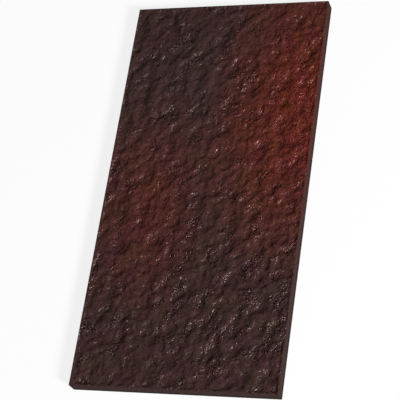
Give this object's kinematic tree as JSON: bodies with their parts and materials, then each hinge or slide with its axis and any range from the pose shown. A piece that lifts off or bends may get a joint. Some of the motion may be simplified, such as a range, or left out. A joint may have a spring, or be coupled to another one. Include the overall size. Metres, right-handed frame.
{
  "type": "stair riser tile",
  "caption": "Rectangular pressed clinker tile with a rough stone-like face, eased edges and a grooved keying back, bedded in adhesive to face a stair riser.",
  "frame": {"origin": "centre of the back, on the plane of its ribs, where the tile lies on a floor or on its adhesive", "axes": "+X across the tile (the riser's height once laid), +Y along its length, +Z out of the structured face"},
  "size_m": [0.148, 0.3, 0.011],
  "materials": {
    "clinker": "semi-matt fired clinker, dark brown flashed to oxide red, with a rough stone-like relief"
  },
  "bodies": {
    "root": {"riser_tile": "clinker"}
  },
  "joints": []
}
